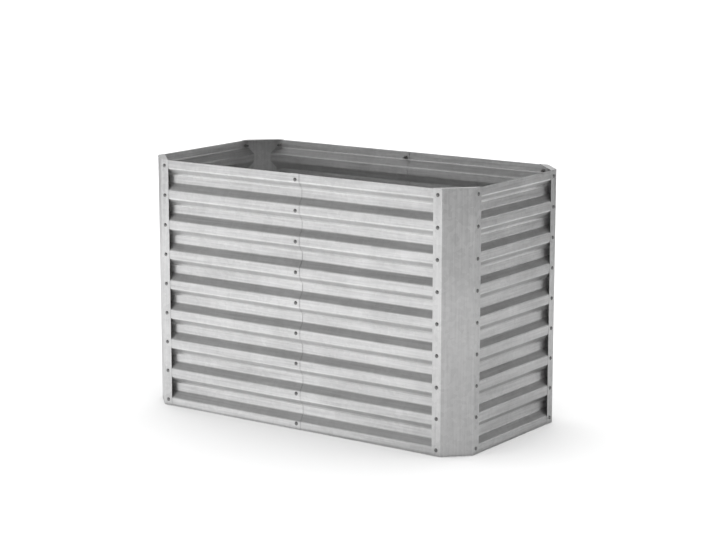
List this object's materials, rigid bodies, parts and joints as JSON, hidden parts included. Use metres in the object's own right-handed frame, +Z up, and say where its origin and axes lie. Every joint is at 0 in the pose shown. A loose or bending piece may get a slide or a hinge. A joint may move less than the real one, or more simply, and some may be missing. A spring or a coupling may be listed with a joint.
{
  "type": "raised garden bed",
  "caption": "Tall eight-sided garden bed of ribbed galvanised sheet steel with plain bolted corner sheets, open at the top and bottom, to be filled with soil.",
  "frame": {"origin": "middle of the footprint at ground level", "axes": "+Z up, +X along the long walls to the right as seen from the front, +Y towards the back wall"},
  "size_m": [1.2268, 0.6168, 0.812],
  "materials": {
    "panel_sheet": "galvanised, satin, faint rolling streaks",
    "corner_sheet": "galvanised, satin, faint spangle",
    "screw": "bright zinc plated",
    "washer_and_nut": "zinc plated",
    "brace": "galvanised"
  },
  "bodies": {
    "root": {"front_left_panel": "panel_sheet", "front_right_panel": "panel_sheet", "back_left_panel": "panel_sheet", "back_right_panel": "panel_sheet", "left_end_panel": "panel_sheet", "right_end_panel": "panel_sheet", "front_left_corner": "corner_sheet", "front_right_corner": "corner_sheet", "back_left_corner": "corner_sheet", "back_right_corner": "corner_sheet", "upper_cross_brace": "brace", "lower_cross_brace": "brace", "front_seam_bolts": "screw", "front_seam_washers": "washer_and_nut", "front_seam_nuts": "washer_and_nut", "front_left_corner_front_bolts": "screw", "front_left_corner_front_washers": "washer_and_nut", "front_left_corner_front_nuts": "washer_and_nut", "front_right_corner_front_bolts": "screw", "front_right_corner_front_washers": "washer_and_nut", "front_right_corner_front_nuts": "washer_and_nut", "back_seam_bolts": "screw", "back_seam_washers": "washer_and_nut", "back_seam_nuts": "washer_and_nut", "back_right_corner_back_bolts": "screw", "back_right_corner_back_washers": "washer_and_nut", "back_right_corner_back_nuts": "washer_and_nut", "back_left_corner_back_bolts": "screw", "back_left_corner_back_washers": "washer_and_nut", "back_left_corner_back_nuts": "washer_and_nut", "front_right_corner_end_bolts": "screw", "front_right_corner_end_washers": "washer_and_nut", "front_right_corner_end_nuts": "washer_and_nut", "back_right_corner_end_bolts": "screw", "back_right_corner_end_washers": "washer_and_nut", "back_right_corner_end_nuts": "washer_and_nut", "back_left_corner_end_bolts": "screw", "back_left_corner_end_washers": "washer_and_nut", "back_left_corner_end_nuts": "washer_and_nut", "front_left_corner_end_bolts": "screw", "front_left_corner_end_washers": "washer_and_nut", "front_left_corner_end_nuts": "washer_and_nut"}
  },
  "joints": []
}
